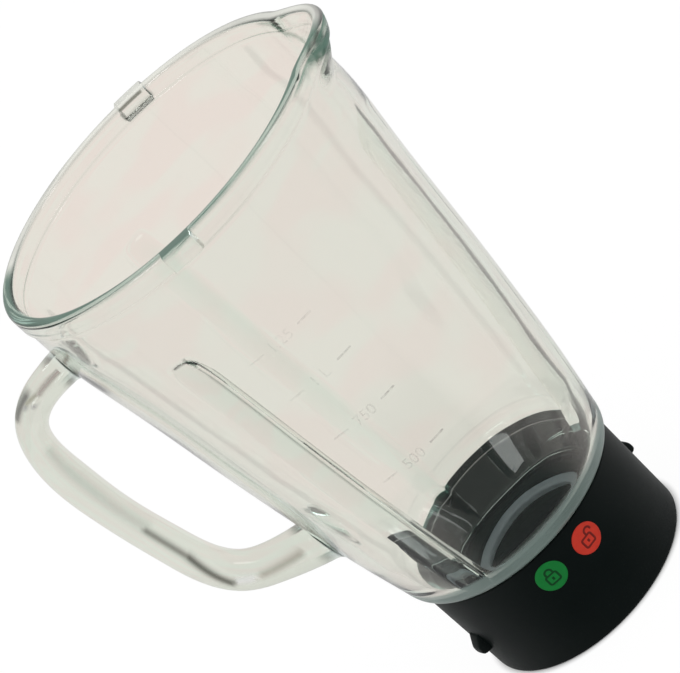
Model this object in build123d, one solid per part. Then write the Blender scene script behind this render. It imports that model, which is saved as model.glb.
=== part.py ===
from build123d import *
import math
import os

# Pressed-glass blending jug on a black moulded base collar, in millimetres.
# It stands upright on Z = 0 with the jug's axis on Z; the handle points to -X,
# the pouring spout to +X, and the measuring marks face -Y.
# Angles go round from -Y toward +X.

# Whole jug
TOTAL_H = 234.0          # floor under the collar to the top of the rim

# Glass wall: radius of the outer face at each height
WALL_PROFILE = [(49.2, 51.0), (53.0, 71.3), (58.0, 104.6), (62.8, 142.7), (66.6, 176.0), (69.3, 196.0)]
RIM_WALL_R = 70.3        # nearly upright band under the rim
RIM_WALL_Z = 210.0
WALL_T_TOP = 3.9         # wall thickness under the rim
WALL_T_LOW = 4.6         # wall thickness above the heel
BEAD_PROUD = 0.9         # raised band round the rim, beyond the wall below it
BEAD_H = 7.6
BEAD_STEP = 1.0          # slope from the wall out to the band
RIM_ROUND = 1.9
BEAD_R = RIM_WALL_R + BEAD_PROUD

# Heel, funnel floor and neck of the glass
HEEL_Z = 44.5            # underside of the heel, just above the collar
HEEL_R = 44.6
HEEL_MID_IN = 1.5        # middle of the heel's rounding, inside the wall's lowest radius
HEEL_MID_UP = 2.0        # and above the heel's underside
FUNNEL_Z = 50.5          # height where the wall turns in to the funnel
FUNNEL_ROUND = 2.5
NECK_R = 32.0            # open bottom of the glass
NECK_Z = 29.5            # foot of the glass, on the collar's web
NECK_LIP_Z = 33.0
SPIGOT_R = 40.0          # glass foot that sits down in the collar
SPIGOT_ROUND = 1.0

# Three stirring ribs inside the wall
RIB_ANGLES = (-28.0, 92.0, 212.0)
RIB_DEPTH = 8.0
RIB_HALF_W = 5.6
RIB_CREST_HALF_W = 0.8
RIB_ROOT = 1.6           # depth that a rib is sunk in the wall
RIB_FULL_Z = 182.5       # a rib has its full depth up to here
RIB_TAPER_Z = 191.5
RIB_TAPER = 0.5          # share of the depth that is left at that height
RIB_TOP_Z = 196.5
RIB_LOW_Z = 34.0

# Pouring spout
SPOUT_REACH = 8.6        # beyond the rim's band
SPOUT_HALF_ANGLE = 25.0
SPOUT_LOW_Z = 217.0
SPOUT_SWELL = 0.6        # power of the height that the reach follows; below 1 the underside bulges
SPOUT_FLOOR = 3.0        # height of the glass under the spout's hollow
SPOUT_T = 4.0
SPOUT_ROOT = 1.0         # depth that the spout's sides are sunk in the wall
SPOUT_START = 0.06       # share of the reach at the spout's foot, still inside the wall
SPOUT_BACK = 12.0        # depth of the spout's solid behind its sides

# Lid lugs on the rim
LUG_W = 12.5
LUG_OUT = 3.8
LUG_H = 7.5
LUG_ROUND = 1.2

# Handle stations: distance from the axis, height, lean of the path in degrees
# below level, half thickness in its plane, half width across it
HANDLE = [
    (64.0, 201.6, 1.0, 7.4, 9.6),
    (72.5, 201.2, 3.0, 6.7, 8.8),
    (80.0, 200.5, 8.0, 6.3, 8.2),
    (88.5, 198.5, 23.0, 6.1, 8.1),
    (96.4, 193.0, 52.0, 6.0, 8.2),
    (101.0, 182.0, 80.0, 6.4, 8.4),
    (101.8, 168.0, 91.0, 7.1, 8.6),
    (100.7, 152.0, 95.0, 6.9, 8.6),
    (98.6, 137.0, 99.0, 6.8, 8.4),
    (95.6, 121.5, 104.0, 7.0, 8.2),
    (91.8, 106.7, 112.0, 7.2, 8.2),
    (84.4, 95.0, 136.0, 7.5, 8.4),
    (73.0, 88.8, 157.0, 7.9, 8.8),
    (61.0, 85.0, 165.0, 8.8, 9.6),
    (50.0, 82.4, 168.0, 9.6, 10.4),
]

# Base collar
COLLAR_TOP_Z = 44.0
COLLAR_R_TOP = 45.2
COLLAR_R_LOW = 44.3
COLLAR_ROUND = 1.6
COLLAR_EDGE = 0.6        # small slope on the collar's top edge
SOCKET_R = 41.2          # open foot that drops over the mixer's drive
SOCKET_H = 12.0
SKIRT_IN_R = 40.2
SPIGOT_FIT = 0.25        # radial room for the bond round the glass foot
WEB_LOW_Z = 24.5
BOSS_IN_R = 27.2         # step the blade seal sits in
SEAT_Z = 25.6
SEAT_LOW_Z = 22.4
SEAT_IN_R = 21.6
SLEEVE_IN_R = 30.0       # sleeve the blade holder turns in
SLEEVE_T = 2.6
SLEEVE_LOW_Z = 13.0
SLEEVE_RIBS = 6
SLEEVE_RIB_T = 2.0
SLEEVE_RIB_LOW_Z = 15.0
RIB_WELD = 0.5           # depth that sleeve ribs are sunk in web and skirt

# Three ramps inside the sleeve that hold the blade holder
RAMP_ANGLES = (0.0, 120.0, 240.0)
RAMP_SPAN = 38.0
RAMP_IN_R = 27.6
RAMP_Z = 14.0
RAMP_H = 3.2

# Two lugs outside the collar that turn into the mixer's drive
DRIVE_LUG_ANGLES = (-64.4, 115.6)
DRIVE_LUG_W = 6.4
DRIVE_LUG_OUT = 3.4      # reach beyond the collar
DRIVE_LUG_Z = 15.0
DRIVE_LUG_H = 8.4
DRIVE_LUG_ROUND = 0.9
DRIVE_LUG_WELD = 1.5     # depth that a lug is sunk in the skirt
DRIVE_LUG_LEAD = 0.6     # slope under the lug's front: how far in
DRIVE_LUG_LEAD_H = 1.6   # and how high
DRIVE_LUG_FACE_H = 3.4   # height where the front starts to slope in
DRIVE_LUG_TOP_OUT = 0.3  # what is left of the reach at the lug's top

# Room beyond a cut's ends, so that it opens clear through
OVERCUT = 5.0

# Blade seal
SEAL_FIT = 0.15
SEAL_IN_R = 22.0
SEAL_TOP_Z = 28.4
SEAL_ROUND = 1.0


def ring_point(radius, angle, z):
    """A point at an angle from -Y toward +X."""
    turn = math.radians(angle)
    return Vector(radius * math.sin(turn), -radius * math.cos(turn), z)


def section_point(radius, z):
    """A point of a turned profile, in the XZ plane."""
    return Vector(radius, 0, z)


def wall_radius(z):
    """Outer radius of the glass wall, straight between the profile's stations."""
    stations = WALL_PROFILE + [(RIM_WALL_R, RIM_WALL_Z), (RIM_WALL_R, TOTAL_H + 10)]
    for (r0, z0), (r1, z1) in zip(stations, stations[1:]):
        if z <= z1:
            return r0 + (r1 - r0) * (z - z0) / (z1 - z0)
    return RIM_WALL_R


def wall_thickness(z):
    """Glass thickness, growing evenly toward the heel."""
    share = (z - FUNNEL_Z) / (TOTAL_H - FUNNEL_Z)
    return WALL_T_LOW + (WALL_T_TOP - WALL_T_LOW) * share


def turned(*edges):
    """Solid of revolution of a closed half profile."""
    return revolve(make_face(Wire(list(edges))), Axis.Z)


def chain(points):
    """Straight edges through a row of points."""
    return [Edge.make_line(p, q) for p, q in zip(points, points[1:])]


def quarter_round(centre_r, centre_z, start):
    """Quarter of a circle of the rim's rounding, ending or starting at its top."""
    at = [section_point(centre_r + RIM_ROUND * math.cos(math.radians(start + turn)),
                        centre_z + RIM_ROUND * math.sin(math.radians(start + turn))) for turn in (0, 45, 90)]
    return Edge.make_three_point_arc(*(at if start == 0 else at[::-1]))


def jug_outside():
    """Outer form of the jug: foot, heel, swelling wall and the rim's band."""
    low_r, low_z = WALL_PROFILE[0]
    bead_z = TOTAL_H - BEAD_H
    wall_points = [section_point(r, z) for r, z in WALL_PROFILE]
    wall_points += [section_point(RIM_WALL_R, RIM_WALL_Z)]
    next_r, next_z = WALL_PROFILE[1]
    lean = Vector(next_r - low_r, 0, next_z - low_z).normalized()
    wall = Edge.make_spline(wall_points, tangents=[lean, Vector(0, 0, 1)])
    heel_mid = section_point(low_r - HEEL_MID_IN, HEEL_Z + HEEL_MID_UP)
    heel = Edge.make_three_point_arc(section_point(HEEL_R, HEEL_Z), heel_mid, wall_points[0])
    foot = chain([
        section_point(0, NECK_Z),
        section_point(SPIGOT_R - SPIGOT_ROUND, NECK_Z),
        section_point(SPIGOT_R, NECK_Z + SPIGOT_ROUND),
        section_point(SPIGOT_R, HEEL_Z),
        section_point(HEEL_R, HEEL_Z),
    ])
    top = chain([
        section_point(RIM_WALL_R, RIM_WALL_Z),
        section_point(RIM_WALL_R, bead_z - BEAD_STEP),
        section_point(BEAD_R, bead_z),
        section_point(BEAD_R, TOTAL_H - RIM_ROUND),
    ])
    lip = quarter_round(BEAD_R - RIM_ROUND, TOTAL_H - RIM_ROUND, 0)
    close = chain([
        section_point(BEAD_R - RIM_ROUND, TOTAL_H),
        section_point(0, TOTAL_H),
        section_point(0, NECK_Z),
    ])
    return turned(*foot, heel, wall, *top, lip, *close)


def jug_inside():
    """Room inside the jug: wall, rounded funnel floor and the open neck."""
    levels = [z for r, z in WALL_PROFILE[1:]] + [RIM_WALL_Z]
    points = [section_point(wall_radius(z) - wall_thickness(z), z) for z in levels[:-1]]
    points += [section_point(RIM_WALL_R - WALL_T_TOP, RIM_WALL_Z)]
    mouth_r = RIM_WALL_R - WALL_T_TOP
    slope = (points[1] - points[0]).normalized()
    wall = Edge.make_spline(points, tangents=[slope, Vector(0, 0, 1)])
    turn_r = wall_radius(FUNNEL_Z) - wall_thickness(FUNNEL_Z)
    outline = chain([
        section_point(0, TOTAL_H + OVERCUT),
        section_point(0, NECK_Z - OVERCUT),
        section_point(NECK_R, NECK_Z - OVERCUT),
        section_point(NECK_R, NECK_LIP_Z),
        section_point(turn_r, FUNNEL_Z),
        points[0],
    ])
    throat = chain([points[-1], section_point(mouth_r, TOTAL_H - RIM_ROUND)])
    lip = quarter_round(mouth_r + RIM_ROUND, TOTAL_H - RIM_ROUND, 90)
    close = chain([
        section_point(mouth_r + RIM_ROUND, TOTAL_H),
        section_point(mouth_r + RIM_ROUND, TOTAL_H + OVERCUT),
        section_point(0, TOTAL_H + OVERCUT),
    ])
    room = turned(*outline, wall, *throat, lip, *close)
    turn_edges = [e for e in room.edges().filter_by(GeomType.CIRCLE)
                  if abs(e.center().Z - FUNNEL_Z) < 0.1 or abs(e.center().Z - NECK_LIP_Z) < 0.1]
    return fillet(turn_edges, FUNNEL_ROUND)


def rib_section(angle, z, depth):
    """Cross-section of a stirring rib at one height, its root buried in the wall."""
    face_r = wall_radius(z) - wall_thickness(z)
    spread = RIB_HALF_W * (1 + RIB_ROOT / RIB_DEPTH)
    root_r = face_r + RIB_ROOT
    crest_r = face_r - depth
    corners = [(root_r, -spread), (crest_r, -RIB_CREST_HALF_W), (crest_r, RIB_CREST_HALF_W), (root_r, spread)]
    plane = Plane(origin=(0, 0, z), x_dir=ring_point(1, angle, 0), z_dir=(0, 0, 1))
    return plane * make_face(Polyline(*corners, close=True))


def stirring_rib(angle):
    """One rib of even depth with a short blunt end below the rim."""
    levels = [RIB_LOW_Z] + [z for r, z in WALL_PROFILE[1:] if z < RIB_FULL_Z] + [RIB_FULL_Z]
    sections = [rib_section(angle, z, RIB_DEPTH) for z in levels]
    sections.append(rib_section(angle, RIB_TAPER_Z, RIB_DEPTH * RIB_TAPER))
    sections.append(rib_section(angle, RIB_TOP_Z, -RIB_ROOT / 4))
    return loft(sections, ruled=True)


def spout_section(z, lift, inset):
    """Cross-section of the spout at one height; the inset gives its hollow."""
    base = RIM_WALL_R - SPOUT_ROOT - inset
    reach = (BEAD_R + SPOUT_REACH - base - inset) * lift
    rim = []
    for step in range(-8, 9):
        share = step / 8
        bump = math.cos(math.pi * share / 2) ** 1.5
        rim.append(ring_point(base + reach * bump, 90 + SPOUT_HALF_ANGLE * share, z))
    back_r = base - SPOUT_BACK
    back = [ring_point(back_r, 90 + SPOUT_HALF_ANGLE, z), ring_point(back_r, 90 - SPOUT_HALF_ANGLE, z)]
    edges = [Edge.make_spline(rim)] + chain([rim[-1]] + back + [rim[0]])
    return make_face(Wire(edges))


def spout(low_z, inset):
    """Lip that swells out of the wall and reaches the height of the rim."""
    sections = []
    for share in (0.0, 0.25, 0.55, 1.0):
        lift = SPOUT_START + (1 - SPOUT_START) * share ** SPOUT_SWELL
        sections.append(spout_section(low_z + (TOTAL_H - low_z) * share, lift, inset))
    return loft(sections)


def handle():
    """Oval handle, thickest at its two roots."""
    sections = []
    for radius, z, lean, half_t, half_w in HANDLE:
        turn = math.radians(lean)
        along = Vector(-math.cos(turn), 0, -math.sin(turn))
        plane = Plane(origin=(-radius, 0, z), x_dir=(0, 1, 0), z_dir=along)
        sections.append(plane * Ellipse(half_w, half_t))
    return loft(sections)


def lid_lugs():
    """Two square lugs on the rim that the lid turns under."""
    lugs = []
    for side in (-1, 1):
        depth = LUG_OUT + WALL_T_TOP
        middle = BEAD_R + LUG_OUT - depth / 2
        block = Pos(0, side * middle, TOTAL_H - LUG_H / 2) * Box(LUG_W, depth, LUG_H)
        outer = [e for e in block.edges().filter_by(Axis.Z) if side * e.center().Y > middle]
        lugs.append(fillet(outer, LUG_ROUND))
    return lugs


def glass_jug():
    """Jug in one piece of glass with its handle, spout, lugs and ribs."""
    solid = jug_outside() + handle() + spout(SPOUT_LOW_Z, 0)
    for lug in lid_lugs():
        solid += lug
    room = jug_inside() + spout(SPOUT_LOW_Z + SPOUT_FLOOR, SPOUT_T)
    for angle in RIB_ANGLES:
        room -= stirring_rib(angle)
    return solid - room


def sector(inner, outer, z0, z1, mid, span):
    """Block of a ring between two radii, two heights and two angles."""
    a0 = mid - span / 2
    a1 = mid + span / 2
    edges = [
        Edge.make_line(ring_point(inner, a0, z0), ring_point(outer, a0, z0)),
        Edge.make_three_point_arc(ring_point(outer, a0, z0), ring_point(outer, mid, z0), ring_point(outer, a1, z0)),
        Edge.make_line(ring_point(outer, a1, z0), ring_point(inner, a1, z0)),
        Edge.make_three_point_arc(ring_point(inner, a1, z0), ring_point(inner, mid, z0), ring_point(inner, a0, z0)),
    ]
    return extrude(make_face(Wire(edges)), z1 - z0, dir=(0, 0, 1))


def collar_radius(z):
    """Outer radius of the collar's slightly flared skirt."""
    return COLLAR_R_LOW + (COLLAR_R_TOP - COLLAR_R_LOW) * z / COLLAR_TOP_Z


def drive_lug(angle):
    """Wedge lug outside the collar, sloping in toward its top."""
    low = DRIVE_LUG_Z
    top = DRIVE_LUG_Z + DRIVE_LUG_H
    root = collar_radius(low) - DRIVE_LUG_WELD
    tip = collar_radius(low) + DRIVE_LUG_OUT
    side = [
        (root, low),
        (tip - DRIVE_LUG_LEAD, low),
        (tip, low + DRIVE_LUG_LEAD_H),
        (tip, low + DRIVE_LUG_FACE_H),
        (collar_radius(top) + DRIVE_LUG_TOP_OUT, top),
        (root, top),
    ]
    plane = Plane(origin=(0, 0, 0), x_dir=ring_point(1, angle, 0), z_dir=ring_point(1, angle - 90, 0))
    block = extrude(plane * make_face(Polyline(*side, close=True)), DRIVE_LUG_W / 2, both=True)
    corners = []
    for edge in block.edges():
        middle = edge @ 0.5
        face_mid = low + (DRIVE_LUG_LEAD_H + DRIVE_LUG_FACE_H) / 2
        upright = abs((edge % 0.5).Z) > 0.3
        if upright and middle.Z >= face_mid - 0.1 and math.hypot(middle.X, middle.Y) > collar_radius(top):
            corners.append(edge)
    return fillet(corners, DRIVE_LUG_ROUND)


def base_collar():
    """Black collar: skirt, web under the glass, seal seat and blade sleeve."""
    socket_r = SPIGOT_R + SPIGOT_FIT
    profile = [
        (SOCKET_R, 0),
        (COLLAR_R_LOW - COLLAR_ROUND, 0),
        (COLLAR_R_LOW - 0.3 * COLLAR_ROUND, 0.3 * COLLAR_ROUND),
        (COLLAR_R_LOW, COLLAR_ROUND),
        (COLLAR_R_TOP, COLLAR_TOP_Z - COLLAR_EDGE),
        (COLLAR_R_TOP - COLLAR_EDGE, COLLAR_TOP_Z),
        (socket_r, COLLAR_TOP_Z),
        (socket_r, NECK_Z),
        (BOSS_IN_R, NECK_Z),
        (BOSS_IN_R, SEAT_Z),
        (SEAT_IN_R, SEAT_Z),
        (SEAT_IN_R, SEAT_LOW_Z),
        (SLEEVE_IN_R, SEAT_LOW_Z),
        (SLEEVE_IN_R, SLEEVE_LOW_Z),
        (SLEEVE_IN_R + SLEEVE_T, SLEEVE_LOW_Z),
        (SLEEVE_IN_R + SLEEVE_T, WEB_LOW_Z),
        (SKIRT_IN_R, WEB_LOW_Z),
        (SKIRT_IN_R, SOCKET_H),
        (SOCKET_R, SOCKET_H),
        (SOCKET_R, 0),
    ]
    body = turned(*chain([section_point(r, z) for r, z in profile]))
    for number in range(SLEEVE_RIBS):
        turn = 360 * (number + 0.5) / SLEEVE_RIBS
        inner = SLEEVE_IN_R + SLEEVE_T / 2
        outer = SKIRT_IN_R + RIB_WELD
        height = WEB_LOW_Z + RIB_WELD - SLEEVE_RIB_LOW_Z
        rib = Pos((inner + outer) / 2, 0, SLEEVE_RIB_LOW_Z + height / 2) * Box(outer - inner, SLEEVE_RIB_T, height)
        body += Rot(0, 0, turn) * rib
    for angle in RAMP_ANGLES:
        body += sector(RAMP_IN_R, SLEEVE_IN_R + SLEEVE_T / 2, RAMP_Z, RAMP_Z + RAMP_H, angle, RAMP_SPAN)
    for angle in DRIVE_LUG_ANGLES:
        body += drive_lug(angle)
    return body


def seal_ring():
    """Soft ring the blade holder closes against."""
    outer = BOSS_IN_R - SEAL_FIT
    profile = [
        (SEAL_IN_R, SEAT_Z),
        (outer, SEAT_Z),
        (outer, SEAL_TOP_Z),
        (SEAL_IN_R, SEAL_TOP_Z),
        (SEAL_IN_R, SEAT_Z),
    ]
    ring = turned(*chain([section_point(r, z) for r, z in profile]))
    top_edges = [e for e in ring.edges().filter_by(GeomType.CIRCLE) if e.center().Z > SEAL_TOP_Z - 0.1]
    return fillet(top_edges, SEAL_ROUND)


os.makedirs("parts", exist_ok=True)
export_step(glass_jug(), "parts/glass_jug.step")
export_step(base_collar(), "parts/base_collar.step")
export_step(seal_ring(), "parts/seal_ring.step")
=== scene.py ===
# %% [markdown]
# # A glass blending jug on its black base collar
# The imported solids come first: they are the fixed frame, and everything below is made
# in the same place and to the same sizes, in metres.

# %% Load the frame
import math

import bpy
import bmesh
import numpy as np
from mathutils import Matrix, Vector


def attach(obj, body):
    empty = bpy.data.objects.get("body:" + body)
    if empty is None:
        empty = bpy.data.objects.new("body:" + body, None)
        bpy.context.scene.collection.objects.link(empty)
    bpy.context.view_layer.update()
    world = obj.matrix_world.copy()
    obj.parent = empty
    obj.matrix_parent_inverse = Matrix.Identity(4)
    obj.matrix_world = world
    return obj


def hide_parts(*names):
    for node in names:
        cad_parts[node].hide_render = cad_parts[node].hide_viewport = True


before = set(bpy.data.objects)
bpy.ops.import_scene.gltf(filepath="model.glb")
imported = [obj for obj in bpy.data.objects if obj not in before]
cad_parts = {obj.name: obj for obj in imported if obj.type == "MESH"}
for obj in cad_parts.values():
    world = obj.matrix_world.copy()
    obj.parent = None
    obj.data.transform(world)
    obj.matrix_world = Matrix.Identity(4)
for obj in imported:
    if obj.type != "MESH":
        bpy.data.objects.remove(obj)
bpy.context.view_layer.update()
scene = bpy.context.scene
scene.view_settings.view_transform = "Standard"
MM = 0.001
print("frame nodes:", sorted(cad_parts))

# %% [markdown]
# ## Sizes
# These are the jug's own sizes in millimetres. Angles go round the jug from the side
# with the measuring marks (-Y) toward the spout (+X); the handle is at -X.

# %% Sizes of the jug, in millimetres
TOTAL_H = 234.0
WALL_PROFILE = np.array([(49.2, 51.0), (53.0, 71.3), (58.0, 104.6), (62.8, 142.7),
                         (66.6, 176.0), (69.3, 196.0), (70.3, 210.0)])
BEND_Z = WALL_PROFILE[1, 1]
RIM_WALL_R, RIM_WALL_Z = 70.3, 210.0
WALL_T_TOP, WALL_T_LOW = 3.9, 4.6
BEAD_R, BEAD_H, BEAD_STEP, RIM_ROUND, RIM_HALF_MAX = 71.2, 8.0, 1.2, 2.2, 2.4
HEEL_R, HEEL_Z = 44.6, 44.5
FUNNEL_Z, NECK_R, NECK_Z, NECK_LIP_Z = 50.5, 32.0, 29.5, 33.0
SPIGOT_R = 40.0
RIB_ANGLES, RIB_END, RIB_ROUND, RIB_RUN_OUT, RIB_INSET = (-28.0, 92.0, 212.0), 14.0, 0.3, 1.6, 2.0
RIB_DEPTH, RIB_HALF_W, RIB_CREST, RIB_TOP_Z = 8.0, 5.6, 0.8, 196.5
SPOUT_REACH, SPOUT_HALF_ANGLE, SPOUT_LOW_Z, SPOUT_FLOOR, SPOUT_T = 8.6, 25.0, 217.0, 3.0, 4.0
SPOUT_ANGLE, SPOUT_EASE, SPOUT_RISE, SPOUT_FADE = 90.0, 0.05, 1.8, 1.6
LUG_W, LUG_OUT, LUG_H, LUG_STEP = 12.5, 3.8, 7.5, 0.7
COLLAR_TOP_Z, COLLAR_R_TOP, COLLAR_R_LOW = 44.0, 45.2, 44.3
HANDLE = np.array([
    (64.0, 201.6, 7.4, 9.6), (72.5, 201.2, 6.7, 8.8), (80.0, 200.5, 6.3, 8.2), (88.5, 198.5, 6.1, 8.1),
    (96.4, 193.0, 6.0, 8.2), (101.0, 182.0, 6.4, 8.4), (101.8, 168.0, 7.1, 8.6), (100.7, 152.0, 6.9, 8.6),
    (98.6, 137.0, 6.8, 8.4), (95.6, 121.5, 7.0, 8.2), (91.8, 106.7, 7.2, 8.2), (84.4, 95.0, 7.5, 8.4),
    (73.0, 88.8, 7.9, 8.8), (61.0, 85.0, 8.8, 9.6), (50.0, 82.4, 9.6, 10.4)])
print("jug height", TOTAL_H, "mm")

# %% [markdown]
# ## Helpers
# Every shape here is a grid of points worked out by numpy. The first helpers turn such a
# grid into a mesh, closed in either direction, and give curves, rings and soft joins. The
# others wrap a material's socket, so that shader maths reads as plain Python expressions.

# %% Grids to meshes
def grid_faces(rows, cols, close_rows=False, close_cols=False):
    """Four corners of every cell of a rows by cols grid of points, row after row."""
    cells = np.arange(rows - (not close_rows)), np.arange(cols - (not close_cols))
    i, j = np.meshgrid(*cells, indexing="ij")
    i2, j2 = (i + 1) % rows, (j + 1) % cols
    return np.stack([i * cols + j, i2 * cols + j, i2 * cols + j2, i * cols + j2], -1).reshape(-1, 4)


def end_caps(rows, cols):
    """Two faces that shut a tube of points: its first row, and its last row the other way round."""
    return [list(range(cols)), [(rows - 1) * cols + k for k in range(cols - 1, -1, -1)]]


def make_piece(name, points, faces, material, smooth_angle=35.0):
    """Mesh object at the origin from points in millimetres and lists of corners, faces turned outward."""
    mesh = bpy.data.meshes.new(name)
    corners = faces if isinstance(faces, list) else faces.tolist()
    mesh.from_pydata((np.asarray(points, float).reshape(-1, 3) * MM).tolist(), [], corners)
    work = bmesh.new()
    work.from_mesh(mesh)
    bmesh.ops.remove_doubles(work, verts=work.verts, dist=1e-7)
    bmesh.ops.recalc_face_normals(work, faces=work.faces)
    work.to_mesh(mesh)
    work.free()
    mesh.polygons.foreach_set("use_smooth", np.ones(len(mesh.polygons), bool))
    mesh.set_sharp_from_angle(angle=math.radians(smooth_angle))
    mesh.materials.append(material)
    piece = bpy.data.objects.new(name, mesh)
    scene.collection.objects.link(piece)
    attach(piece, "root")
    print(name, len(mesh.vertices), "points", sum(len(p.vertices) - 2 for p in mesh.polygons), "triangles")
    return piece


def spline(x, y, first, last):
    """Smooth curve through knots: cubic pieces with equal bend where they meet, and given end slopes."""
    h, n = np.diff(x), len(x)
    a, b = np.eye(n), np.zeros(n)
    b[0], b[-1] = first, last
    k = np.arange(1, n - 1)
    a[k, k - 1], a[k, k], a[k, k + 1] = 1 / h[:-1], 2 * (1 / h[:-1] + 1 / h[1:]), 1 / h[1:]
    b[k] = 3 * (np.diff(y)[:-1] / h[:-1] ** 2 + np.diff(y)[1:] / h[1:] ** 2)
    slope = np.linalg.solve(a, b)

    def value(at):
        at = np.asarray(at, float)
        c = np.clip(np.searchsorted(x, at) - 1, 0, n - 2)
        t = (at - x[c]) / h[c]
        return ((1 + 2 * t) * (1 - t) ** 2 * y[c] + t * (1 - t) ** 2 * h[c] * slope[c]
                + t * t * (3 - 2 * t) * y[c + 1] + t * t * (t - 1) * h[c] * slope[c + 1])
    return value


def on_ring(radius, angle, z):
    """Points at an angle in radians from -Y toward +X."""
    return np.stack(np.broadcast_arrays(radius * np.sin(angle), -radius * np.cos(angle), z), -1)


def soft_max(a, b, round_by):
    """The larger of two values, rounded where they cross."""
    return 0.5 * (a + b + np.sqrt((a - b) ** 2 + round_by ** 2))


def soft_min(a, b, round_by):
    """The smaller of two values, rounded where they cross."""
    return -soft_max(-a, -b, round_by)


def ease(x):
    """0 to 1 with level ends."""
    x = np.clip(x, 0, 1)
    return x * x * (3 - 2 * x)


def crowded(low, high, count, *crowds):
    """Values from low to high that crowd round each (place, width, amount)."""
    fine = np.linspace(low, high, 20001)
    density = np.ones_like(fine)
    for place, width, amount in crowds:
        density += amount * np.exp(-((fine - place) / width) ** 2)
    total = np.concatenate([[0], np.cumsum((density[1:] + density[:-1]) / 2)])
    return np.interp(np.linspace(0, total[-1], count), total, fine)


# %% Sockets as numbers
class Sock:
    """An output socket of a node tree. Arithmetic on it adds Math nodes to the tree."""

    def __init__(self, tree, out):
        self.tree, self.out = tree, out

    def node(self, kind, settings=None, sockets=None, output=0):
        """Any node: its type, settings that are set first, then values or links of its inputs."""
        made = self.tree.nodes.new(kind)
        for key, value in (settings or {}).items():
            if key == "stops":
                ramp = made.color_ramp
                while len(ramp.elements) < len(value):
                    ramp.elements.new(1.0)
                for element, (place, colour) in zip(ramp.elements, value):
                    element.position, element.color = place, colour
            else:
                setattr(made, key, value)
        for key, value in (sockets or {}).items():
            if isinstance(value, Sock):
                self.tree.links.new(value.out, made.inputs[key])
            else:
                made.inputs[key].default_value = value
        return Sock(self.tree, made.outputs[output]) if len(made.outputs) else made

    def math(self, operation, a, b=0.0, c=0.0):
        """One Math node on up to three numbers or sockets."""
        return self.node("ShaderNodeMath", {"operation": operation}, {0: a, 1: b, 2: c})

    def __add__(self, other):
        return self.math("ADD", self, other)

    def __sub__(self, other):
        return self.math("SUBTRACT", self, other)

    def __rsub__(self, other):
        return self.math("SUBTRACT", other, self)

    def __mul__(self, other):
        return self.math("MULTIPLY", self, other)

    __radd__ = __add__

    def mix(self, low, high):
        """Colour that goes from low to high as this value goes from 0 to 1."""
        return self.node("ShaderNodeMix", {"data_type": "RGBA"}, {0: self, 6: low, 7: high}, 2)


def material(name):
    """Empty node material: a socket to build from, and its output node."""
    made = bpy.data.materials.new(name)
    made.use_nodes = True
    made.node_tree.nodes.clear()
    output = made.node_tree.nodes.new("ShaderNodeOutputMaterial")
    return made, Sock(made.node_tree, None), output


def finish_material(start, output, shader):
    """Links a shader to the material's surface."""
    start.tree.links.new(shader.out, output.inputs["Surface"])
    print("finish of", len(start.tree.nodes), "nodes")


# %% [markdown]
# ## Camera
# The jug stands upright, and the picture was turned by about 47 degrees, so the camera
# is rolled by that much. The long lens and the small aim off the axis put the jug where
# the picture has it, with no lens shift.

# %% Camera at the photograph's angle
IMAGE_W, IMAGE_H, FOCAL_PX = 680, 673, 3471.0
ELEVATION, AZIMUTH, ROLL = map(math.radians, (24.63, 10.5, 46.69))
DISTANCE, TARGET, TARGET_PX = 1236.6, Vector((0, 0, 117.0)), (374.7, 377.5)
SENSOR_W = 36.0
level_in = math.cos(ELEVATION)
look = Vector((-level_in * math.sin(AZIMUTH), level_in * math.cos(AZIMUTH), -math.sin(ELEVATION)))
right = Vector((math.cos(AZIMUTH), math.sin(AZIMUTH), 0))
above = right.cross(look)
eye = TARGET - DISTANCE * look
off_x, off_y = IMAGE_W / 2 - TARGET_PX[0], IMAGE_H / 2 - TARGET_PX[1]
turned_x = off_x * math.cos(ROLL) - off_y * math.sin(ROLL)
turned_y = off_x * math.sin(ROLL) + off_y * math.cos(ROLL)
aim = (FOCAL_PX * look + turned_x * right - turned_y * above).normalized()
up = math.sin(ROLL) * right + math.cos(ROLL) * above
side = aim.cross(up).normalized()
up = side.cross(aim)
camera = bpy.data.objects.new("camera", bpy.data.cameras.new("camera"))
camera.data.sensor_width = SENSOR_W
camera.data.lens = FOCAL_PX / IMAGE_W * SENSOR_W
camera.data.clip_start, camera.data.clip_end = 0.05, 20.0
camera.matrix_world = Matrix.Translation(eye * MM) @ Matrix((side, up, -aim)).transposed().to_4x4()
scene.collection.objects.link(camera)
scene.camera = camera
print("lens", round(camera.data.lens, 1), "mm")

# %% [markdown]
# ## Light and floor
# Clear glass shows only what is round it. A pale dome lights the jug, two soft boxes
# give the quiet streaks, and what is seen through the glass is a warm pale wall. The
# direct background is white, as on a cut-out product picture.

# %% Helpers for light and finishes
def between(value, low, high):
    """0 below low, 1 above high, and a soft step from one to the other."""
    return value.node("ShaderNodeMapRange", {"interpolation_type": "SMOOTHSTEP"},
                      {0: value, 1: low, 2: high, 3: 0.0, 4: 1.0})


def reach_along(spot, way):
    """How far a place lies along a way: their dot product."""
    return spot.node("ShaderNodeVectorMath", {"operation": "DOT_PRODUCT"}, {0: spot, 1: way}, 1)


def off_axis(spot):
    """Distance from the jug's axis: the length of a place without its height."""
    level = spot.node("ShaderNodeVectorMath", {"operation": "MULTIPLY"}, {0: spot, 1: (1, 1, 0)})
    return spot.node("ShaderNodeVectorMath", {"operation": "LENGTH"}, {0: level}, 1)


def place_on(start):
    """Object coordinates: a place on the piece, in metres."""
    return start.node("ShaderNodeTexCoord", {}, {}, 3)


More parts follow.
